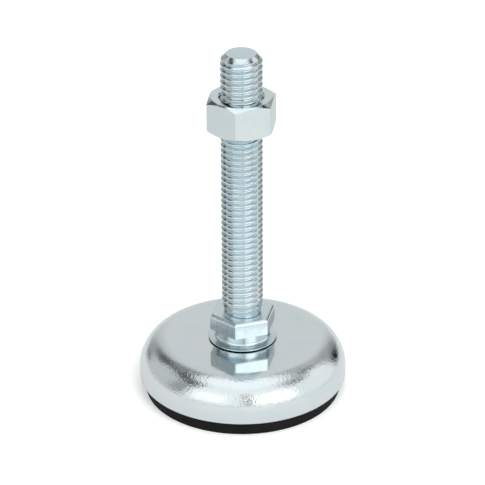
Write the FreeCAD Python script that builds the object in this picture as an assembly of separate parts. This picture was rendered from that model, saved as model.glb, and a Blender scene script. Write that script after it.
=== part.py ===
"""Furniture leveling foot: an M12 spindle that swivels and turns in a 60 mm pressed-steel base.

Millimetres, +Z up. The origin is the middle of the rubber pad's underside, where the foot
meets the floor. Every piece is built round the Z axis, in its place at rest.
"""
import FreeCAD, Part
import math
import os

Vec = FreeCAD.Vector

# Heights above the floor
OVERALL_HEIGHT = 105.2
RIM_HEIGHT = 4.2
CAP_TOP = 16.1
COLLAR_GAP = 0.3
HEX_BOTTOM = 20.1
HEX_TOP = 24.9
THREAD_FOOT = 26.2
NUT_BOTTOM = 82.4
BALL_CENTRE = 9.8

# Pressed-steel cap
CAP_RADIUS = 30.0
CAP_SHEET = 1.5
SHOULDER_RADIUS = 9.0
CAP_HOLE_RADIUS = 5.6
RIM_ROUND = 0.5

# Rubber pad
PAD_RADIUS = 28.35
PAD_TOP = 6.2
PAD_EDGE_ROUND = 0.3
PAD_POCKET_RADIUS = 9.2
PAD_POCKET_FLOOR = 2.8
TREAD_DEPTH = 1.0
TREAD_WIDTH = 1.6
TREAD_RADII = (8.0, 13.0, 18.0, 23.0)

# Swivel: ball, its two seats, and the washer that keeps the spindle in it
BALL_RADIUS = 7.5
BALL_TOP = 12.8
BALL_BOTTOM = 5.6
SEAT_CLEARANCE = 0.05
JOURNAL_CLEARANCE = 0.03
COUNTERBORE_RADIUS = 5.6
COUNTERBORE_TOP = 7.5
PLATE_SHEET = 1.8
PLATE_RADIUS = 28.3
DISH_FLOOR = 4.8
DISH_FLOOR_RADIUS = 5.2
DISH_SEAT_BOTTOM = 5.2
UPPER_SEAT_RADIUS = 12.0
UPPER_SEAT_MOUTH = 6.4
WASHER_RADIUS = 5.2
WASHER_HEIGHTS = (6.35, 7.35)

# Spindle below the thread
COLLAR_RADIUS = 9.9
COLLAR_ROUND = 0.15
FLARE_DEG = 80
FLARE_ROUND = 0.8
NECK_RADIUS = 7.65
HEX_ACROSS_FLATS = 17.0
HEX_TURN_DEG = 17.6
HEX_TOP_BEVEL = 0.6
HEX_SIDES = 6
SHANK_RADIUS = 5.0
BOSS_RADIUS = 5.0
JOURNAL_RADIUS = 4.0
SPIGOT_RADIUS = 3.0
PEENED_RADIUS = 4.1
PEENED_BOTTOM = 5.75
PEENED_BEVEL = 0.35

# Lock nut
NUT_ACROSS_FLATS = 18.0
NUT_HEIGHT = 10.0
NUT_TURN_DEG = 21.0
NUT_COUNTERSINK_RADIUS = 6.5
NUT_COUNTERSINK_SLOPE = 1.6
CHAMFER_CIRCLE = 0.95
CHAMFER_SLOPE = math.tan(math.radians(30))

# M12 x 1.75 thread. The crest passes CREST_HEIGHT on the +X side.
PITCH = 1.75
CREST_RADIUS = 5.93
ROOT_RADIUS = 4.9
CREST_WIDTH = 0.25
FLANK_SLOPE = math.tan(math.radians(30))
CREST_HEIGHT = 103.14
TIP_RADIUS = 4.25
RUN_OUT_TOP = 29.4
RUN_OUT_RADIUS = 5.3
THREAD_CLEARANCE = 0.17

# Small allowances that let one solid pass through another where they are joined or cut
OVERRUN = 1.0
MARGIN = 0.1
CORE_INSET = 0.01
SAME_POINT = 1e-6


def arc(start, middle, end):
    """Round edge in the XZ plane through three (radius, height) points."""
    return Part.Arc(*[Vec(r, 0, z) for r, z in (start, middle, end)]).toShape()


def on_ball(radius, height):
    """(radius, height) of the point at this height on a sphere about the ball's centre."""
    return math.sqrt(radius ** 2 - (height - BALL_CENTRE) ** 2), height


def revolved(outline):
    """Solid of revolution of a closed outline of (radius, height) points and ready-made edges."""
    edges = []
    here = first = None
    for item in outline:
        if isinstance(item, tuple):
            start = end = Vec(item[0], 0, item[1])
        else:
            start, end = item.firstVertex().Point, item.lastVertex().Point
        if here is None:
            first = start
        elif here.distanceToPoint(start) > SAME_POINT:
            edges.append(Part.makeLine(here, start))
        if not isinstance(item, tuple):
            edges.append(item)
        here = end
    if here.distanceToPoint(first) > SAME_POINT:
        edges.append(Part.makeLine(here, first))
    face = Part.Face(Part.Wire(edges))
    return face.revolve(Vec(0, 0, 0), Vec(0, 0, 1), 360)


def round_edge(centre, radius, start_deg, end_deg):
    """Round edge about a (radius, height) centre, between two angles from the outward direction."""
    angles = [math.radians(a) for a in (start_deg, (start_deg + end_deg) / 2, end_deg)]
    points = [(centre[0] + radius * math.cos(a), centre[1] + radius * math.sin(a)) for a in angles]
    return arc(*points)


def hexagon(across_flats, bottom, height, turn_deg):
    """Hexagonal prism with a corner at turn_deg from +X."""
    corner = across_flats / math.sqrt(3)
    angles = [math.radians(turn_deg + 360 / HEX_SIDES * k) for k in range(HEX_SIDES + 1)]
    points = [Vec(corner * math.cos(a), corner * math.sin(a), bottom) for a in angles]
    return Part.Face(Part.makePolygon(points)).extrude(Vec(0, 0, height))


def corner_cones(across_flats, bottom, top):
    """Solid of revolution whose two cones take the corners off a hexagon's ends."""
    outside = across_flats / math.sqrt(3) + OVERRUN
    flat = CHAMFER_CIRCLE * across_flats / 2
    drop = (outside - flat) * CHAMFER_SLOPE
    return revolved([
        (0, bottom),
        (flat, bottom),
        (outside, bottom + drop),
        (outside, top - drop),
        (flat, top),
        (0, top),
    ])


def threaded_bar(grow, bottom, top):
    """Bar with a right-hand thread, at least from bottom to top, with its surface grown outwards.

    Each turn is four ruled helicoid strips: root, flank, crest, flank. The bar's ends are
    closed well outside the stretch that is used.
    """
    crest = CREST_RADIUS + grow
    root = ROOT_RADIUS + grow
    # a surface grown by a distance square to the flanks moves them apart along the axis
    crest_width = CREST_WIDTH + 2 * grow * (math.sqrt(1 + FLANK_SLOPE ** 2) - FLANK_SLOPE)
    flank = (crest - root) * FLANK_SLOPE
    root_width = PITCH - crest_width - 2 * flank
    strips = (root_width, flank, crest_width, flank)
    radii = (root, root, crest, crest, root)
    heights = [sum(strips[:k]) for k in range(5)]
    crest_middle = heights[2] + crest_width / 2
    start = CREST_HEIGHT - crest_middle
    start -= PITCH * math.ceil((start + PITCH - bottom) / PITCH)
    turns = math.ceil((top - start) / PITCH)

    helices = [Part.makeHelix(PITCH, PITCH, r).Edges[0] for r in radii]
    for helix, height in zip(helices, heights):
        helix.translate(Vec(0, 0, start + height))
    one_turn = [Part.makeRuledSurface(low, high) for low, high in zip(helices, helices[1:])]
    faces = []
    for turn in range(turns):
        for strip in one_turn:
            face = strip.copy()
            face.translate(Vec(0, 0, turn * PITCH))
            faces.append(face)
    for lift in (0, turns * PITCH):
        end_helix = helices[0].copy()
        end_helix.translate(Vec(0, 0, lift))
        low, high = start + lift, start + lift + PITCH
        faces.append(Part.makeRuledSurface(end_helix, Part.makeLine(Vec(0, 0, low), Vec(0, 0, high))))
        section = [Vec(r, 0, start + lift + h) for r, h in zip(radii, heights)]
        outline = [Vec(0, 0, low)] + section + [Vec(0, 0, high), Vec(0, 0, low)]
        faces.append(Part.Face(Part.makePolygon(outline)))
    bar = Part.makeSolid(Part.makeShell(faces))
    if bar.Volume < 0:
        bar.reverse()
    return bar


def thread():
    """The spindle's thread: chamfered tip, and last turns that grow shallower to the hexagon."""
    foot = HEX_TOP - OVERRUN
    outside = CREST_RADIUS + MARGIN
    chamfer_bottom = OVERALL_HEIGHT - (outside - TIP_RADIUS)
    envelope = revolved([
        (0, foot),
        (RUN_OUT_RADIUS, foot),
        (RUN_OUT_RADIUS, HEX_TOP),
        (outside, RUN_OUT_TOP),
        (outside, chamfer_bottom),
        (TIP_RADIUS, OVERALL_HEIGHT),
        (0, OVERALL_HEIGHT),
    ])
    return threaded_bar(0, foot, OVERALL_HEIGHT).common(envelope)


def threaded_stud():
    """Spindle in one piece: peened end, journal, boss, collar, neck, hexagon, shank and thread."""
    collar_bottom = CAP_TOP + COLLAR_GAP
    lip = (COLLAR_RADIUS - COLLAR_ROUND, collar_bottom + COLLAR_ROUND)
    flare = math.radians(FLARE_DEG)
    # the flare is straight from the lip to a fillet, which is tangent to it and to the neck
    fillet_radius = NECK_RADIUS + FLARE_ROUND
    fillet_rise = COLLAR_ROUND + FLARE_ROUND - math.cos(flare) * (fillet_radius - lip[0])
    fillet = (fillet_radius, lip[1] + fillet_rise / math.sin(flare))
    washer_bottom, washer_top = WASHER_HEIGHTS
    core = revolved([
        (0, PEENED_BOTTOM),
        (SPIGOT_RADIUS, PEENED_BOTTOM),
        (PEENED_RADIUS, PEENED_BOTTOM + PEENED_BEVEL),
        (PEENED_RADIUS, washer_bottom),
        (SPIGOT_RADIUS, washer_bottom),
        (SPIGOT_RADIUS, washer_top),
        (JOURNAL_RADIUS, washer_top),
        (JOURNAL_RADIUS, BALL_TOP),
        (BOSS_RADIUS, BALL_TOP),
        (BOSS_RADIUS, collar_bottom),
        round_edge(lip, COLLAR_ROUND, -90, FLARE_DEG),
        round_edge(fillet, FLARE_ROUND, 180 + FLARE_DEG, 180),
        (NECK_RADIUS, HEX_BOTTOM + MARGIN),
        (SHANK_RADIUS, HEX_BOTTOM + MARGIN),
        (SHANK_RADIUS, THREAD_FOOT),
        (ROOT_RADIUS - CORE_INSET, RUN_OUT_TOP),
        (0, RUN_OUT_TOP),
    ])
    drive = hexagon(HEX_ACROSS_FLATS, HEX_BOTTOM, HEX_TOP - HEX_BOTTOM, HEX_TURN_DEG)
    top_edges = [e for e in drive.Edges if e.BoundBox.ZMin > HEX_TOP - SAME_POINT]
    drive = drive.makeChamfer(HEX_TOP_BEVEL, top_edges)
    return core.fuse([drive, thread()]).removeSplitter()


def lock_nut():
    """Hexagon nut, chamfered and countersunk at both ends, threaded in step with the spindle."""
    top = NUT_BOTTOM + NUT_HEIGHT
    blank = hexagon(NUT_ACROSS_FLATS, NUT_BOTTOM, NUT_HEIGHT, NUT_TURN_DEG)
    blank = blank.common(corner_cones(NUT_ACROSS_FLATS, NUT_BOTTOM, top))
    sink_radius = ROOT_RADIUS + THREAD_CLEARANCE - MARGIN
    sink = (NUT_COUNTERSINK_RADIUS - sink_radius) * NUT_COUNTERSINK_SLOPE
    for face, sink_floor in ((NUT_BOTTOM, NUT_BOTTOM + sink), (top, top - sink)):
        mouth = [(0, face), (NUT_COUNTERSINK_RADIUS, face), (sink_radius, sink_floor), (0, sink_floor)]
        blank = blank.cut(revolved(mouth))
    return blank.cut(threaded_bar(THREAD_CLEARANCE, NUT_BOTTOM - OVERRUN, top + OVERRUN))


def pressed_cap():
    """Cap of even sheet: flat top with a hole for the spindle, rounded shoulder, straight skirt."""
    flat = CAP_RADIUS - SHOULDER_RADIUS
    inner = CAP_RADIUS - CAP_SHEET
    shoulder = (flat, CAP_TOP - SHOULDER_RADIUS)
    return revolved([
        (CAP_HOLE_RADIUS, CAP_TOP),
        round_edge(shoulder, SHOULDER_RADIUS, 90, 0),
        round_edge((CAP_RADIUS - RIM_ROUND, RIM_HEIGHT + RIM_ROUND), RIM_ROUND, 0, -90),
        (inner, RIM_HEIGHT),
        round_edge(shoulder, SHOULDER_RADIUS - CAP_SHEET, 0, 90),
        (CAP_HOLE_RADIUS, CAP_TOP - CAP_SHEET),
    ])


def rubber_pad():
    """Solid pad with ring grooves in its underside and a pocket above for the socket's dish."""
    underside = [(0, 0)]
    for radius in TREAD_RADII:
        inner, outer = radius - TREAD_WIDTH / 2, radius + TREAD_WIDTH / 2
        underside += [(inner, 0), (inner, TREAD_DEPTH), (outer, TREAD_DEPTH), (outer, 0)]
    edge = (PAD_RADIUS - PAD_EDGE_ROUND, PAD_EDGE_ROUND)
    return revolved(underside + [
        round_edge(edge, PAD_EDGE_ROUND, -90, 0),
        (PAD_RADIUS, PAD_TOP),
        (PAD_POCKET_RADIUS, PAD_TOP),
        (PAD_POCKET_RADIUS, PAD_POCKET_FLOOR),
        (0, PAD_POCKET_FLOOR),
    ])


def ball_arc(radius, start_height, end_height):
    """Round edge on a sphere about the ball's centre, between two heights."""
    heights = (start_height, (start_height + end_height) / 2, end_height)
    return arc(*[on_ball(radius, height) for height in heights])


def swivel_ball():
    """Truncated ball, bored for the journal and counterbored for the retaining washer."""
    bore = JOURNAL_RADIUS + JOURNAL_CLEARANCE
    return revolved([
        (COUNTERBORE_RADIUS, BALL_BOTTOM),
        ball_arc(BALL_RADIUS, BALL_BOTTOM, BALL_TOP),
        (bore, BALL_TOP),
        (bore, COUNTERBORE_TOP),
        (COUNTERBORE_RADIUS, COUNTERBORE_TOP),
    ])


def upper_seat():
    """Ring between the socket plate and the cap, with a spherical seat over the ball."""
    seat = BALL_RADIUS + SEAT_CLEARANCE
    bottom = PAD_TOP + PLATE_SHEET
    top = CAP_TOP - CAP_SHEET
    seat_top = BALL_CENTRE + math.sqrt(seat ** 2 - UPPER_SEAT_MOUTH ** 2)
    return revolved([
        (seat, bottom),
        (seat, BALL_CENTRE),
        ball_arc(seat, BALL_CENTRE, seat_top),
        (UPPER_SEAT_MOUTH, top),
        (UPPER_SEAT_RADIUS, top),
        (UPPER_SEAT_RADIUS, bottom),
    ])


def socket_plate():
    """Load plate of even sheet, dished in the middle to seat the ball from below."""
    seat = BALL_RADIUS + SEAT_CLEARANCE
    plate_top = PAD_TOP + PLATE_SHEET
    dish_bottom = DISH_FLOOR - PLATE_SHEET
    return revolved([
        (0, DISH_FLOOR),
        (DISH_FLOOR_RADIUS, DISH_FLOOR),
        ball_arc(seat, DISH_SEAT_BOTTOM, plate_top),
        (PLATE_RADIUS, plate_top),
        (PLATE_RADIUS, PAD_TOP),
        ball_arc(seat + PLATE_SHEET, PAD_TOP, dish_bottom),
        (0, dish_bottom),
    ])


def retaining_washer():
    """Plain washer held against the journal's step by the peened end."""
    bottom, top = WASHER_HEIGHTS
    return revolved([
        (SPIGOT_RADIUS, bottom),
        (WASHER_RADIUS, bottom),
        (WASHER_RADIUS, top),
        (SPIGOT_RADIUS, top),
    ])


PIECES = {
    "threaded_stud": threaded_stud,
    "lock_nut": lock_nut,
    "pressed_cap": pressed_cap,
    "rubber_pad": rubber_pad,
    "swivel_ball": swivel_ball,
    "upper_seat": upper_seat,
    "socket_plate": socket_plate,
    "retaining_washer": retaining_washer,
}

os.makedirs("parts", exist_ok=True)
for name, make in PIECES.items():
    shape = make()
    solids = shape.Solids
    print(f"{name}: {len(solids)} solid, valid {shape.isValid()}, {shape.Volume:.1f} mm3")
    solids[0].exportStep(f"parts/{name}.step")
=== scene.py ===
"""Looks of the furniture leveling foot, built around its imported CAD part.

Lengths are in metres. MM turns the design's millimetres into metres, and heights are taken from
the CAD nodes' boxes where a node has them.
"""

import math

import bmesh
import bpy
from mathutils import Matrix, Vector


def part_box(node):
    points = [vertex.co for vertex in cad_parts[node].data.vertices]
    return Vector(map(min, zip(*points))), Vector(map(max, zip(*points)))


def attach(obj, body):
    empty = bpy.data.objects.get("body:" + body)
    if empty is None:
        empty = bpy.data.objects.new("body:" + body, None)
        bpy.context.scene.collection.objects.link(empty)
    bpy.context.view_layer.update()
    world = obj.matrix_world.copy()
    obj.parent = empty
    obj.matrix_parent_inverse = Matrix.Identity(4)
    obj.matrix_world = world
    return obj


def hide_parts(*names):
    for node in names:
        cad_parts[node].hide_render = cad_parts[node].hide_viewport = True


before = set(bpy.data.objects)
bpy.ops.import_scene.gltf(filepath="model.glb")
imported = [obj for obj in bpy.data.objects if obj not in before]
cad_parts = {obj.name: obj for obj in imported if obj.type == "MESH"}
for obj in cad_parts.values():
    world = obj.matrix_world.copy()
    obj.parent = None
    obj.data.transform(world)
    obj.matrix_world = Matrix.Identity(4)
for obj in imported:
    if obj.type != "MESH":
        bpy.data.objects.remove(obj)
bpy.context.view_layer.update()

MM = 0.001
TURN = 2 * math.pi
DEG = TURN / 360

# Outline points nearer the axis than this are taken to be on it.
AXIS_RADIUS = 1e-7

cap_low, cap_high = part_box("pressed_cap")
pad_low, pad_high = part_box("rubber_pad")
nut_low, nut_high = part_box("lock_nut")
stud_low, stud_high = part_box("threaded_stud")

# Thread, M12 x 1.75. The crest passes CREST_HEIGHT on the +X side. A threaded bar is planned
# THREAD_OVERRUN pitches past its ends, to be trimmed.
PITCH = 1.75 * MM
CREST_RADIUS = 5.93 * MM
ROOT_RADIUS = 4.9 * MM
CREST_WIDTH = 0.25 * MM
FLANK_SLOPE = math.tan(30 * DEG)
CREST_HEIGHT = 103.14 * MM
CREST_ROUND = 0.14 * MM
ROOT_ROUND = 0.26 * MM
THREAD_CLEARANCE = 0.17 * MM
THREAD_OVERRUN = 1.5
TIP_RADIUS = 4.25 * MM

# Spindle below its thread. FLARE is the angle between the collar's top and the axis.
THREAD_FOOT = 26.2 * MM
RUN_OUT_TOP = 29.4 * MM
RUN_OUT_RADIUS = 5.3 * MM
SHANK_RADIUS = 5.0 * MM
HEX_BOTTOM = 20.1 * MM
HEX_TOP = 24.9 * MM
HEX_ACROSS_FLATS = 17.0 * MM
HEX_TURN = 17.6 * DEG
HEX_CORNER_ROUND = 0.24 * MM
HEX_TOP_BEVEL = 0.6 * MM
HEX_TOP_ROUND = 0.9 * MM
NECK_RADIUS = 7.65 * MM
COLLAR_RADIUS = 9.9 * MM
COLLAR_GAP = 0.3 * MM
COLLAR_ROUND = 0.15 * MM
FLARE = 80 * DEG
FLARE_ROUND = 0.8 * MM
BOSS_RADIUS = 5.0 * MM
BOSS_BOTTOM = 12.8 * MM
JOURNAL_RADIUS = 4.0 * MM
SPIGOT_RADIUS = 3.0 * MM
PEENED_RADIUS = 4.1 * MM
PEENED_BEVEL = 0.35 * MM
WASHER_BOTTOM = 6.35 * MM
WASHER_TOP = 7.35 * MM

# Lock nut. CHAMFER_CIRCLE is its chamfer's circle, as a share of the width across flats.
NUT_ACROSS_FLATS = 18.0 * MM
NUT_TURN = 21.0 * DEG
NUT_CORNER_ROUND = 0.36 * MM
NUT_COUNTERSINK_RADIUS = 6.5 * MM
NUT_COUNTERSINK_SLOPE = 1.6
CHAMFER_CIRCLE = 0.95
CHAMFER_SLOPE = math.tan(30 * DEG)

# Pressed cap and rubber pad
CAP_SHEET = 1.5 * MM
CAP_HOLE_RADIUS = 5.6 * MM
SHOULDER_RADIUS = 9.0 * MM
RIM_ROUND = 0.5 * MM
PAD_EDGE_ROUND = 0.36 * MM
PAD_POCKET_RADIUS = 9.2 * MM
PAD_POCKET_FLOOR = 2.8 * MM
TREAD_DEPTH = 1.0 * MM
TREAD_WIDTH = 1.6 * MM
TREAD_ROUND = 0.24 * MM
TREAD_RADII = [r * MM for r in (8.0, 13.0, 18.0, 23.0)]

# Mesh making. ROUND_STEPS is for a quarter turn. The envelope that trims the thread has its own
# number of columns, so that its facets cross the core's instead of lying on them. MARGIN is how far
# pieces overlap where they are joined or cut, and CORE_INSET keeps the core's top inside the thread.
EDGE_ROUND = 0.12 * MM
ROUND_STEPS = 4
LIP_STEPS = 12
RIM_STEPS = 6
SHOULDER_STEPS = 24
INNER_SHOULDER_STEPS = 16
LATHE_COLUMNS = 180
CAP_COLUMNS = 360
ENVELOPE_COLUMNS = 160
THREAD_COLUMNS = 80
FLAT_COLUMNS = 12
SHARP_ANGLE = 35 * DEG
MARGIN = 0.1 * MM
CORE_INSET = 0.01 * MM

# Zinc plate. Roughness is (low, high), or one value each for a piece's two kinds of surface. The nut's
# goes from drawn to turned as the upward or downward part of its normal goes through TURNED_FROM.
COOL_CAST = (0.97, 1.0, 1.02)
WARM_CAST = (1.03, 1.01, 1.0)
SPINDLE_TINT = (0.635, 0.715, 0.745)
PLATE_TINT = (0.66, 0.72, 0.73)
SHEET_TINT = (0.69, 0.73, 0.74)
STEEL_TINT = (0.5, 0.51, 0.52)
FORGED_ROUGHNESS = 0.24
ROLLED_ROUGHNESS = 0.06
DRAWN_ROUGHNESS = 0.34
TURNED_ROUGHNESS = 0.06
TURNED_FROM = (0.05, 0.2)
SHEET_ROUGHNESS = (0.08, 0.12)
STEEL_ROUGHNESS = (0.25, 0.4)
CLOUD_SIZE = 6 * MM
PATCH_SIZE = 1.5 * MM
GRAIN_SIZE = 0.4 * MM
PLATE_GRAIN = 0.002 * MM
STEEL_GRAIN = 0.003 * MM
SHEET_GRAIN = 0.003 * MM

# Orange peel of the cap's shoulder, which fades in between two radii and between two heights
PEEL_SIZE = 0.6 * MM
PEEL_DEPTH = 0.065 * MM
PEEL_RADII = (20 * MM, 25 * MM)
PEEL_HEIGHTS = (7 * MM, 11 * MM)

# Rubber and acetal, each with the two tints and the two roughnesses it goes between
RUBBER_TINTS = ((0.006, 0.006, 0.006, 1), (0.012, 0.0115, 0.012, 1))
RUBBER_ROUGHNESS = (0.5, 0.68)
RUBBER_SHINE = 0.12
DUST_SIZE = 5 * MM
PEBBLE_SIZE = 0.35 * MM
PEBBLE_DEPTH = 0.02 * MM
ACETAL_TINTS = ((0.72, 0.7, 0.64, 1), (0.8, 0.79, 0.75, 1))
ACETAL_ROUGHNESS = (0.35, 0.5)
ACETAL_CLOUD_SIZE = 3 * MM

# Floor, a little below the pad, and the lamp that lights it in front of the foot
FLOOR_HALF = 3000 * MM
FLOOR_DROP = 0.05 * MM
FLOOR_GLOW = 0.3
PAPER_TINTS = ((0.86, 0.86, 0.86, 1), (0.88, 0.88, 0.88, 1))
PAPER_CLOUD_SIZE = 40 * MM
LAMP_PLACE = (50 * MM, -220 * MM, 260 * MM)
LAMP_WIDTH = 150 * MM
LAMP_WATTS = 0.3

# Camera, aimed at a point on the foot's axis
CAMERA_ELEVATION = 27.58 * DEG
CAMERA_ROLL = -0.3 * DEG
CAMERA_DISTANCE = 712.4 * MM
CAMERA_TARGET = 46.64 * MM
CAMERA_LENS = 185.64
CAMERA_SHIFT = 0.0008
CAMERA_CLIP = 10 * MM
CAMERA_SENSOR = 36.0

# The studio, as soft-edged cards on a far sphere. Azimuth 0 is the camera's side and positive is to
# its right, in degrees; each card is (azimuths, elevations, edge softness, brightness). A card covers
# those before it, and SURROUNDINGS is the brightness between them all.
SURROUNDINGS = 0.68
STUDIO_TINT = (0.97, 1.0, 1.0, 1)
CARDS = (
    ((-220, -165), (-40, 66), 8, 0.8),
    ((160, 220), (-40, 66), 8, 0.8),
    ((64, 124), (-40, 46), 5, 1.05),
    ((-153, -134), (-10, 50), 5, 0.42),
    ((-148, -127), (27, 46), 5, 0.12),
    ((-72, 72), (-40, 12), 5, 0.95),
    ((-200, 200), (64, 200), 7, 1.27),
    ((-66, 64), (7, 66), 5, 1.15),
    ((-58, -20), (13, 42), 9, 1.45),
    ((16, 58), (10, 42), 9, 2.0),
    ((-88, -69), (8, 40), 5, 0.4),
    ((-158, -118), (48, 62), 6, 0.3),
    ((-90, -69), (42, 58), 4, 0.1),
    ((-128, -90), (45, 59), 5, 0.12),
    ((104, 164), (48, 60), 6, 0.5),
    ((78, 96), (45, 57), 4, 0.2),
    ((126, 152), (20, 42), 6, 0.45),
    ((126, 152), (-16, 22), 4, 0.3),
    ((127, 141), (-8, 17), 2, 0.0),
    ((-143, -133), (-4, 8), 3, 0.1),
    ((121, 132), (46, 54), 2, 0.0),
    ((2, 8), (10, 50), 1.5, 0.2),
)


def rounded(corners):
    """Outline of (radius, height) points with rounded corners.

    Each corner is (radius, height) where it stays sharp or (radius, height, round) where an arc
    of that radius takes its place. The first and last corners are never rounded.
    """
    points = []
    for i, corner in enumerate(corners):
        here = Vector(corner[:2])
        if len(corner) == 2 or i in (0, len(corners) - 1):
            points.append(here)
            continue
        radius = corner[2]
        into = (here - Vector(corners[i - 1][:2])).normalized()
        out = (Vector(corners[i + 1][:2]) - here).normalized()
        turn = into.angle_signed(out)
        start = here - into * radius * math.tan(abs(turn) / 2)
        side = math.copysign(1, turn)
        centre = start + Vector((into.y, -into.x)) * side * radius
        steps = max(2, round(ROUND_STEPS * abs(turn) / (90 * DEG)))
        for k in range(steps + 1):
            spoke = start - centre
            angle = -turn * k / steps
            points.append(centre + Vector((
                spoke.x * math.cos(angle) - spoke.y * math.sin(angle),
                spoke.x * math.sin(angle) + spoke.y * math.cos(angle),
            )))
    return [(max(p.x, 0.0), p.y) for p in points]


def arc(centre, radius, start, end, steps):
    """Points of an arc about a (radius, height) centre; angles are from the outward direction."""
    angles = [start + (end - start) * k / steps for k in range(steps + 1)]
    return [(centre[0] + radius * math.cos(a), centre[1] + radius * math.sin(a)) for a in angles]


def mesh_object(name, points, faces):
    """Object of a closed mesh with its faces turned outwards."""
    mesh = bpy.data.meshes.new(name)
    mesh.from_pydata(points, [], faces)
    tidy = bmesh.new()
    tidy.from_mesh(mesh)
    bmesh.ops.recalc_face_normals(tidy, faces=tidy.faces)
    tidy.to_mesh(mesh)
    tidy.free()
    obj = bpy.data.objects.new(name, mesh)
    bpy.context.scene.collection.objects.link(obj)
    return obj


def swept(name, outline_at, angles):
    """Closed solid round Z, whose outline at each angle is outline_at(angle).

    An outline is a list of (radius, height) points, as many at every angle. It goes from axis to
    axis, or it closes on itself.
    """
    outlines = [outline_at(angle) for angle in angles]
    count = len(outlines[0])
    on_axis = [outlines[0][i][0] < AXIS_RADIUS for i in range(count)]
    points = []
    index = {}
    for k, (angle, outline) in enumerate(zip(angles, outlines)):
        for i, (radius, height) in enumerate(outline):
            if on_axis[i] and k:
                index[k, i] = index[0, i]
                continue
            index[k, i] = len(points)
            points.append((radius * math.cos(angle), radius * math.sin(angle), height))
    open_ended = on_axis[0] and on_axis[-1]
    faces = []
    for k in range(len(angles)):
        beside = (k + 1) % len(angles)
        for i in range(count - 1 if open_ended else count):
            above = (i + 1) % count
            corners = [index[k, i], index[beside, i], index[beside, above], index[k, above]]
            faces.append(list(dict.fromkeys(corners)))
    return mesh_object(name, points, [face for face in faces if len(face) > 2])


def lathed(name, outline, columns=LATHE_COLUMNS):
    """Solid of revolution of one outline."""
    return swept(name, lambda angle: outline, [TURN * k / columns for k in range(columns)])


def combined(body, tool, operation):
    """Joins, cuts or intersects body with tool, and removes tool."""
    modifier = body.modifiers.new(operation.lower(), "BOOLEAN")
    modifier.operation = operation
    modifier.solver = "MANIFOLD"
    modifier.object = tool
    depsgraph = bpy.context.evaluated_depsgraph_get()
    mesh = bpy.data.meshes.new_from_object(body.evaluated_get(depsgraph))
    body.modifiers.clear()
    body.data = mesh
    bpy.data.objects.remove(tool)
    return body


def smoothed(obj):
    """Smooth shading that keeps edges over SHARP_ANGLE sharp and flat faces flat."""
    obj.data.shade_smooth()
    obj.data.set_sharp_from_angle(angle=SHARP_ANGLE)
    weighted = obj.modifiers.new("weighted_normals", "WEIGHTED_NORMAL")
    weighted.keep_sharp = True
    return obj


def corner_round(across_flats, edge_round):
    """Where a hexagon's rounded corner is: its centre's distance and half the angle it takes up."""
    centre = (across_flats / 2 - edge_round) / math.cos(30 * DEG)
    end = (centre + edge_round * math.cos(30 * DEG), edge_round * math.sin(30 * DEG))
    return centre, math.atan2(end[1], end[0])


def wall_radius(angle, across_flats, edge_round):
    """Distance from the axis to a hexagon's wall, at an angle from one of its rounded corners."""
    centre, half_angle = corner_round(across_flats, edge_round)
    off = abs((angle + 30 * DEG) % (60 * DEG) - 30 * DEG)
    if off < half_angle:
        return centre * math.cos(off) + math.sqrt(edge_round ** 2 - (centre * math.sin(off)) ** 2)
    return across_flats / 2 / math.cos(30 * DEG - off)


def hexagon_angles(across_flats, edge_round, turn):
    """Angles of a hexagon's columns: close together on its rounded corners, even on its flats."""
    half_angle = corner_round(across_flats, edge_round)[1]
    corner = [half_angle * k / ROUND_STEPS for k in range(-ROUND_STEPS, ROUND_STEPS)]
    flat_span = 60 * DEG - 2 * half_angle
    flat = [half_angle + flat_span * k / FLAT_COLUMNS for k in range(FLAT_COLUMNS)]
    return [turn + 60 * DEG * side + a for side in range(6) for a in corner + flat]


def thread_profile(grow):
    """One pitch of the thread as (radius, rise) points, from the foot of one flank to the next."""
    crest = CREST_RADIUS + grow
    root = ROOT_RADIUS + grow
    crest_width = CREST_WIDTH + 2 * grow * (math.sqrt(1 + FLANK_SLOPE ** 2) - FLANK_SLOPE)
    flank = (crest - root) * FLANK_SLOPE
    half_crest = crest_width / 2
    corners = [
        (root, -PITCH / 2),
        (root, -half_crest - flank, ROOT_ROUND),
        (crest, -half_crest, CREST_ROUND),
        (crest, half_crest, CREST_ROUND),
        (root, half_crest + flank, ROOT_ROUND),
        (root, PITCH / 2),
    ]
    return rounded(corners)[:-1]


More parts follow.
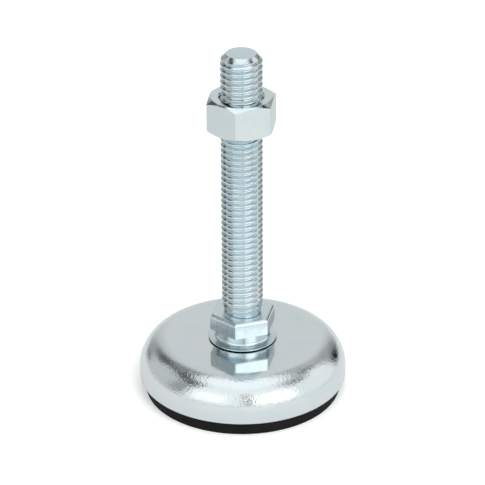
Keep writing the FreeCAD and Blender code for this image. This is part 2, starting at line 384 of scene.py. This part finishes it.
def threaded_bar(name, grow, bottom, top):
    """Closed bar with a right-hand thread, running past bottom and top by a pitch or so."""
    profile = thread_profile(grow)
    per_turn = len(profile)
    start = CREST_HEIGHT - PITCH * math.ceil((CREST_HEIGHT - bottom) / PITCH + THREAD_OVERRUN)
    turns = math.ceil((top - start) / PITCH + THREAD_OVERRUN)
    rows = turns * per_turn
    points = []
    for k in range(THREAD_COLUMNS):
        angle = TURN * k / THREAD_COLUMNS
        for row in range(rows):
            radius, rise = profile[row % per_turn]
            height = start + rise + PITCH * (row // per_turn + k / THREAD_COLUMNS)
            points.append((radius * math.cos(angle), radius * math.sin(angle), height))

    def at(column, row):
        """Vertex of a column and row; a full turn further on is one pitch up."""
        if column == THREAD_COLUMNS:
            column, row = 0, row + per_turn
        return column * rows + row

    faces = []
    for k in range(THREAD_COLUMNS):
        last = rows - 1 - (per_turn if k == THREAD_COLUMNS - 1 else 0)
        for row in range(last):
            faces.append([at(k, row), at(k + 1, row), at(k + 1, row + 1), at(k, row + 1)])
    foot = [at(k, 0) for k in range(THREAD_COLUMNS)] + [at(0, row) for row in range(per_turn, 0, -1)]
    head = [at(k, rows - 1) for k in range(THREAD_COLUMNS)]
    head += [at(THREAD_COLUMNS - 1, row) for row in range(rows - 2, rows - 2 - per_turn, -1)]
    for ring, height in ((foot, start), (head, points[head[0]][2])):
        points.append((0, 0, height))
        middle = len(points) - 1
        faces += [[middle, a, b] for a, b in zip(ring, ring[1:] + ring[:1])]
    return mesh_object(name, points, faces)


def threaded_stud():
    """Spindle in one piece: peened end, journal, boss, collar, neck, hexagon, shank and thread."""
    collar_bottom = cap_high.z + COLLAR_GAP
    lip = (COLLAR_RADIUS - COLLAR_ROUND, collar_bottom + COLLAR_ROUND)
    lip_arc = arc(lip, COLLAR_ROUND, -90 * DEG, FLARE, LIP_STEPS)
    flare_top = lip_arc[-1][1] + (lip_arc[-1][0] - NECK_RADIUS) / math.tan(FLARE)
    core = lathed("spindle", rounded([
        (0, stud_low.z),
        (SPIGOT_RADIUS, stud_low.z),
        (PEENED_RADIUS, stud_low.z + PEENED_BEVEL),
        (PEENED_RADIUS, WASHER_BOTTOM),
        (SPIGOT_RADIUS, WASHER_BOTTOM),
        (SPIGOT_RADIUS, WASHER_TOP),
        (JOURNAL_RADIUS, WASHER_TOP),
        (JOURNAL_RADIUS, BOSS_BOTTOM),
        (BOSS_RADIUS, BOSS_BOTTOM),
        (BOSS_RADIUS, collar_bottom),
        *lip_arc,
        (NECK_RADIUS, flare_top, FLARE_ROUND),
        (NECK_RADIUS, HEX_BOTTOM + MARGIN),
        (SHANK_RADIUS, HEX_BOTTOM + MARGIN),
        (SHANK_RADIUS, THREAD_FOOT),
        (ROOT_RADIUS - CORE_INSET, RUN_OUT_TOP),
        (0, RUN_OUT_TOP),
    ]))
    core = combined(core, stud_hexagon(), "UNION")
    outside = CREST_RADIUS + MARGIN
    inside = ROOT_RADIUS - 2 * MARGIN
    run_out_slope = (RUN_OUT_TOP - HEX_TOP) / (outside - RUN_OUT_RADIUS)
    envelope_bottom = RUN_OUT_TOP - (outside - inside) * run_out_slope
    chamfer_bottom = stud_high.z - (outside - TIP_RADIUS)
    envelope = lathed("envelope", rounded([
        (0, envelope_bottom),
        (inside, envelope_bottom),
        (outside, RUN_OUT_TOP),
        (outside, chamfer_bottom),
        (TIP_RADIUS, stud_high.z, EDGE_ROUND),
        (0, stud_high.z),
    ]), ENVELOPE_COLUMNS)
    thread = threaded_bar("thread", 0, envelope_bottom, stud_high.z)
    thread = combined(thread, envelope, "INTERSECT")
    return smoothed(combined(core, thread, "UNION"))


def stud_hexagon():
    """The spindle's spanner hexagon, with a small bevel, rounded at its edges, round its top."""
    def outline(angle):
        wall = wall_radius(angle - HEX_TURN, HEX_ACROSS_FLATS, HEX_CORNER_ROUND)
        return rounded([
            (0, HEX_BOTTOM),
            (wall, HEX_BOTTOM, EDGE_ROUND),
            (wall, HEX_TOP - HEX_TOP_BEVEL, HEX_TOP_ROUND),
            (wall - HEX_TOP_BEVEL, HEX_TOP, HEX_TOP_ROUND),
            (0, HEX_TOP),
        ])
    angles = hexagon_angles(HEX_ACROSS_FLATS, HEX_CORNER_ROUND, HEX_TURN)
    return swept("stud_hexagon", outline, angles)


def lock_nut():
    """Hexagon nut with coned corners and countersunk mouths, threaded in step with the spindle."""
    bottom, top = nut_low.z, nut_high.z
    flat = CHAMFER_CIRCLE * NUT_ACROSS_FLATS / 2
    sink_radius = ROOT_RADIUS + THREAD_CLEARANCE - MARGIN
    sink = (NUT_COUNTERSINK_RADIUS - sink_radius) * NUT_COUNTERSINK_SLOPE

    def outline(angle):
        wall = wall_radius(angle - NUT_TURN, NUT_ACROSS_FLATS, NUT_CORNER_ROUND)
        drop = (wall - flat) * CHAMFER_SLOPE
        return rounded([
            (0, bottom + sink),
            (sink_radius, bottom + sink),
            (NUT_COUNTERSINK_RADIUS, bottom, EDGE_ROUND),
            (flat, bottom, EDGE_ROUND),
            (wall, bottom + drop, EDGE_ROUND),
            (wall, top - drop, EDGE_ROUND),
            (flat, top, EDGE_ROUND),
            (NUT_COUNTERSINK_RADIUS, top, EDGE_ROUND),
            (sink_radius, top - sink),
            (0, top - sink),
        ])
    angles = hexagon_angles(NUT_ACROSS_FLATS, NUT_CORNER_ROUND, NUT_TURN)
    blank = swept("nut", outline, angles)
    bore = threaded_bar("bore", THREAD_CLEARANCE, bottom, top)
    return smoothed(combined(blank, bore, "DIFFERENCE"))


def pressed_cap():
    """Cap of even sheet: flat top with a hole for the spindle, rounded shoulder, straight skirt."""
    flat = cap_high.x - SHOULDER_RADIUS
    inner = cap_high.x - CAP_SHEET
    shoulder = (flat, cap_high.z - SHOULDER_RADIUS)
    cap_bottom = cap_high.z - CAP_SHEET
    outline = [(CAP_HOLE_RADIUS + EDGE_ROUND, cap_high.z)]
    outline += arc(shoulder, SHOULDER_RADIUS, 90 * DEG, 0, SHOULDER_STEPS)
    rim = (cap_high.x - RIM_ROUND, cap_low.z + RIM_ROUND)
    outline += arc(rim, RIM_ROUND, 0, -90 * DEG, RIM_STEPS)
    outline += [(inner, cap_low.z)]
    outline += arc(shoulder, SHOULDER_RADIUS - CAP_SHEET, 0, 90 * DEG, INNER_SHOULDER_STEPS)
    outline += [(CAP_HOLE_RADIUS, cap_bottom), (CAP_HOLE_RADIUS, cap_high.z - EDGE_ROUND)]
    return smoothed(lathed("cap", outline, CAP_COLUMNS))


def rubber_pad():
    """Solid pad with ring grooves in its underside and a pocket above for the socket's dish."""
    sole = pad_low.z
    outline = [(0, sole)]
    for radius in TREAD_RADII:
        inner, outer = radius - TREAD_WIDTH / 2, radius + TREAD_WIDTH / 2
        outline += [
            (inner, sole, TREAD_ROUND),
            (inner, sole + TREAD_DEPTH, TREAD_ROUND),
            (outer, sole + TREAD_DEPTH, TREAD_ROUND),
            (outer, sole, TREAD_ROUND),
        ]
    outline += [
        (pad_high.x, sole, PAD_EDGE_ROUND),
        (pad_high.x, pad_high.z, EDGE_ROUND),
        (PAD_POCKET_RADIUS, pad_high.z, EDGE_ROUND),
        (PAD_POCKET_RADIUS, PAD_POCKET_FLOOR, EDGE_ROUND),
        (0, PAD_POCKET_FLOOR),
    ]
    return smoothed(lathed("pad", rounded(outline)))


class Nodes:
    """Builds a material's or a world's node tree, one short call per node."""

    def __init__(self, owner):
        owner.use_nodes = True
        self.tree = owner.node_tree
        self.tree.nodes.clear()

    def add(self, kind, inputs=None, **settings):
        """New node. inputs maps a socket's name or number to a value or to another node's output."""
        node = self.tree.nodes.new(kind)
        for name, value in settings.items():
            setattr(node, name, value)
        for socket, value in (inputs or {}).items():
            if isinstance(value, bpy.types.NodeSocket):
                self.tree.links.new(value, node.inputs[socket])
            else:
                node.inputs[socket].default_value = value
        return node

    def math(self, operation, first, second=0.0):
        """Output of a Math node."""
        return self.add("ShaderNodeMath", {0: first, 1: second}, operation=operation).outputs[0]

    def blend(self, share, low, high):
        """Output of a colour mix."""
        node = self.add("ShaderNodeMix", {"Factor": share, "A": low, "B": high}, data_type="RGBA")
        return node.outputs["Result"]

    def ramp(self, value, low, high, to_low=0.0, to_high=1.0):
        """Output of a smooth step of value between low and high."""
        inputs = {
            "Value": value,
            "From Min": low,
            "From Max": high,
            "To Min": to_low,
            "To Max": to_high,
        }
        node = self.add("ShaderNodeMapRange", inputs, interpolation_type="SMOOTHSTEP")
        return node.outputs["Result"]

    def noise(self, place, feature_size, detail=3.0, roughness=0.5):
        """Output of noise whose features are about feature_size metres across."""
        inputs = {"Vector": place, "Scale": 1 / feature_size, "Detail": detail, "Roughness": roughness}
        return self.add("ShaderNodeTexNoise", inputs).outputs["Fac"]


def zinc(name, tint, roughness, grain_height, grain_size):
    """Bright zinc plate: cloudy tint, patchy gloss and a fine grain.

    roughness is (low, high) and grain_height a depth. Either can be a function of the material's
    nodes and its object coordinates instead, for a finish that isn't the same all over.
    grain_size is how far apart the grain's bumps are.
    """
    material = bpy.data.materials.new(name)
    nodes = Nodes(material)
    coordinates = nodes.add("ShaderNodeTexCoord")
    place = coordinates.outputs["Object"]
    clouds = nodes.noise(place, CLOUD_SIZE, 4)
    patches = nodes.noise(place, PATCH_SIZE, 3)
    grain = nodes.noise(place, grain_size, 1, 0.7)
    cool = [channel * share for channel, share in zip(tint, COOL_CAST)] + [1]
    warm = [channel * share for channel, share in zip(tint, WARM_CAST)] + [1]
    colour = nodes.blend(nodes.ramp(clouds, 0.35, 0.65), cool, warm)
    if callable(roughness):
        base = roughness(nodes, coordinates)
        gloss = nodes.math("MULTIPLY", base, nodes.ramp(patches, 0.3, 0.7, 0.8, 1.2))
    else:
        gloss = nodes.ramp(patches, 0.3, 0.7, roughness[0], roughness[1])
    depth = grain_height(nodes, place) if callable(grain_height) else grain_height
    height = nodes.math("MULTIPLY", grain, depth)
    bump = nodes.add("ShaderNodeBump", {"Strength": 1.0, "Distance": 1.0, "Height": height})
    shader = nodes.add("ShaderNodeBsdfPrincipled", {
        "Base Color": colour,
        "Metallic": 1.0,
        "Roughness": gloss,
        "Normal": bump.outputs["Normal"],
    })
    nodes.add("ShaderNodeOutputMaterial", {"Surface": shader.outputs[0]})
    return material


def forged_and_rolled(nodes, coordinates):
    """Roughness of the spindle: smooth rolled thread above the forged hexagon and collar."""
    z = nodes.add("ShaderNodeSeparateXYZ", {0: coordinates.outputs["Object"]}).outputs["Z"]
    return nodes.ramp(z, HEX_TOP, RUN_OUT_TOP, FORGED_ROUGHNESS, ROLLED_ROUGHNESS)


def drawn_and_turned(nodes, coordinates):
    """Roughness of the nut: satin walls of drawn bar, smooth turned chamfers and thread."""
    up = nodes.add("ShaderNodeSeparateXYZ", {0: coordinates.outputs["Normal"]}).outputs["Z"]
    lean = nodes.math("ABSOLUTE", up)
    return nodes.ramp(lean, *TURNED_FROM, DRAWN_ROUGHNESS, TURNED_ROUGHNESS)


def orange_peel(nodes, place):
    """Grain depth of the cap: deep where the sheet was stretched over the shoulder."""
    x, y, z = nodes.add("ShaderNodeSeparateXYZ", {0: place}).outputs
    squares = [nodes.math("MULTIPLY", side, side) for side in (x, y)]
    radius = nodes.math("SQRT", nodes.math("ADD", *squares))
    stretched = nodes.math(
        "MULTIPLY",
        nodes.ramp(radius, *PEEL_RADII),
        nodes.ramp(z, *PEEL_HEIGHTS),
    )
    return nodes.math("ADD", nodes.math("MULTIPLY", stretched, PEEL_DEPTH), SHEET_GRAIN)


def rubber(name):
    """Matte moulded black rubber, a little dusty, with a fine pebbled grain."""
    material = bpy.data.materials.new(name)
    nodes = Nodes(material)
    place = nodes.add("ShaderNodeTexCoord").outputs["Object"]
    dust = nodes.noise(place, DUST_SIZE, 5, 0.6)
    pebble = nodes.noise(place, PEBBLE_SIZE, 3)
    dusty = nodes.ramp(dust, 0.35, 0.75)
    colour = nodes.blend(dusty, *RUBBER_TINTS)
    bump = nodes.add("ShaderNodeBump", {"Strength": 1.0, "Distance": PEBBLE_DEPTH, "Height": pebble})
    shader = nodes.add("ShaderNodeBsdfPrincipled", {
        "Base Color": colour,
        "Roughness": nodes.ramp(dust, 0.3, 0.7, *RUBBER_ROUGHNESS),
        "Specular IOR Level": RUBBER_SHINE,
        "Normal": bump.outputs["Normal"],
    })
    nodes.add("ShaderNodeOutputMaterial", {"Surface": shader.outputs[0]})
    return material


def acetal(name):
    """Natural moulded acetal with slight cloudiness."""
    material = bpy.data.materials.new(name)
    nodes = Nodes(material)
    place = nodes.add("ShaderNodeTexCoord").outputs["Object"]
    clouds = nodes.noise(place, ACETAL_CLOUD_SIZE, 4)
    cloudy = nodes.ramp(clouds, 0.3, 0.7)
    colour = nodes.blend(cloudy, *ACETAL_TINTS)
    shader = nodes.add("ShaderNodeBsdfPrincipled", {
        "Base Color": colour,
        "Roughness": nodes.ramp(clouds, 0.3, 0.7, *ACETAL_ROUGHNESS),
        "Subsurface Weight": 0.1,
    })
    nodes.add("ShaderNodeOutputMaterial", {"Surface": shader.outputs[0]})
    return material


def painted(obj, material):
    """Puts one material on an object."""
    obj.data.materials.clear()
    obj.data.materials.append(material)
    return obj


def floor():
    """Plain white floor. To the camera it glows a little, so that it photographs as pure white."""
    material = bpy.data.materials.new("white_floor")
    nodes = Nodes(material)
    place = nodes.add("ShaderNodeTexCoord").outputs["Object"]
    paper = nodes.noise(place, PAPER_CLOUD_SIZE)
    colour = nodes.blend(paper, *PAPER_TINTS)
    shader = nodes.add("ShaderNodeBsdfDiffuse", {"Color": colour})
    seen = nodes.add("ShaderNodeLightPath").outputs["Is Camera Ray"]
    glow = nodes.add("ShaderNodeEmission", {
        "Color": (1, 1, 1, 1),
        "Strength": nodes.math("MULTIPLY", seen, FLOOR_GLOW),
    })
    both = nodes.add("ShaderNodeAddShader", {0: shader.outputs[0], 1: glow.outputs[0]})
    nodes.add("ShaderNodeOutputMaterial", {"Surface": both.outputs[0]})
    sides = ((-1, -1), (1, -1), (1, 1), (-1, 1))
    corners = [(x * FLOOR_HALF, y * FLOOR_HALF, -FLOOR_DROP) for x, y in sides]
    plane = bpy.data.meshes.new("floor")
    plane.from_pydata(corners, [], [(0, 1, 2, 3)])
    obj = bpy.data.objects.new("floor", plane)
    bpy.context.scene.collection.objects.link(obj)
    painted(obj, material)


def floor_light():
    """Soft lamp over the floor in front of the foot. It isn't seen in reflections."""
    data = bpy.data.lights.new("floor_light", "AREA")
    data.shape = "DISK"
    data.size = LAMP_WIDTH
    data.energy = LAMP_WATTS
    obj = bpy.data.objects.new("floor_light", data)
    obj.location = LAMP_PLACE
    obj.visible_glossy = False
    obj.visible_camera = False
    bpy.context.scene.collection.objects.link(obj)


def studio():
    """World of soft cards; the camera itself sees plain white."""
    world = bpy.data.worlds.new("studio")
    bpy.context.scene.world = world
    nodes = Nodes(world)
    ray = nodes.add("ShaderNodeTexCoord").outputs["Generated"]
    x, y, z = nodes.add("ShaderNodeSeparateXYZ", {0: ray}).outputs
    azimuth = nodes.math("DEGREES", nodes.math("ARCTAN2", x, nodes.math("MULTIPLY", y, -1.0)))
    elevation = nodes.math("DEGREES", nodes.math("ARCSINE", z))
    light = SURROUNDINGS
    for (left, right), (low, high), soft, brightness in CARDS:
        edges = (
            nodes.ramp(azimuth, left - soft, left + soft),
            nodes.ramp(azimuth, right + soft, right - soft),
            nodes.ramp(elevation, low - soft, low + soft),
            nodes.ramp(elevation, high + soft, high - soft),
        )
        across = nodes.math("MULTIPLY", *edges[:2])
        cover = nodes.math("MULTIPLY", across, nodes.math("MULTIPLY", *edges[2:]))
        mixed = nodes.add("ShaderNodeMix", {0: cover, 2: light, 3: brightness})
        light = mixed.outputs[0]
    seen = nodes.add("ShaderNodeLightPath").outputs["Is Camera Ray"]
    strength = nodes.add("ShaderNodeMix", {0: seen, 2: light, 3: 1.0}).outputs[0]
    background = nodes.add("ShaderNodeBackground", {"Color": STUDIO_TINT, "Strength": strength})
    nodes.add("ShaderNodeOutputWorld", {"Surface": background.outputs[0]})


def camera():
    """Long lens, 27.6 degrees above the floor, in front of the foot, held a little askew."""
    data = bpy.data.cameras.new("camera")
    data.lens = CAMERA_LENS
    data.sensor_width = CAMERA_SENSOR
    data.clip_start = CAMERA_CLIP
    data.shift_x = CAMERA_SHIFT
    obj = bpy.data.objects.new("camera", data)
    back = Vector((0, -math.cos(CAMERA_ELEVATION), math.sin(CAMERA_ELEVATION)))
    obj.location = Vector((0, 0, CAMERA_TARGET)) + back * CAMERA_DISTANCE
    level = Matrix.Rotation(90 * DEG - CAMERA_ELEVATION, 3, "X")
    obj.rotation_euler = (level @ Matrix.Rotation(CAMERA_ROLL, 3, "Z")).to_euler()
    bpy.context.scene.collection.objects.link(obj)
    bpy.context.scene.camera = obj


plate = zinc("zinc_plate", SPINDLE_TINT, forged_and_rolled, PLATE_GRAIN, GRAIN_SIZE)
nut_plate = zinc("zinc_nut", PLATE_TINT, drawn_and_turned, PLATE_GRAIN, GRAIN_SIZE)
sheet = zinc("zinc_sheet", SHEET_TINT, SHEET_ROUGHNESS, orange_peel, PEEL_SIZE)
steel = zinc("plain_steel", STEEL_TINT, STEEL_ROUGHNESS, STEEL_GRAIN, GRAIN_SIZE)

PIECES = (
    (threaded_stud, "threaded_stud", "spindle", "zinc_plate", plate),
    (lock_nut, "lock_nut", "nut", "zinc_plate", nut_plate),
    (pressed_cap, "pressed_cap", "base", "zinc_cap", sheet),
    (rubber_pad, "rubber_pad", "base", "black_rubber", rubber("black_rubber")),
)
for make, node, body, slot, material in PIECES:
    piece = painted(make(), material)
    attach(piece, body)
    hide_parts(node)

for node in ("swivel_ball", "socket_plate", "retaining_washer"):
    painted(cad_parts[node], steel)
painted(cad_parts["upper_seat"], acetal("white_acetal"))

floor()
floor_light()
studio()
camera()
bpy.context.scene.view_settings.view_transform = "Standard"
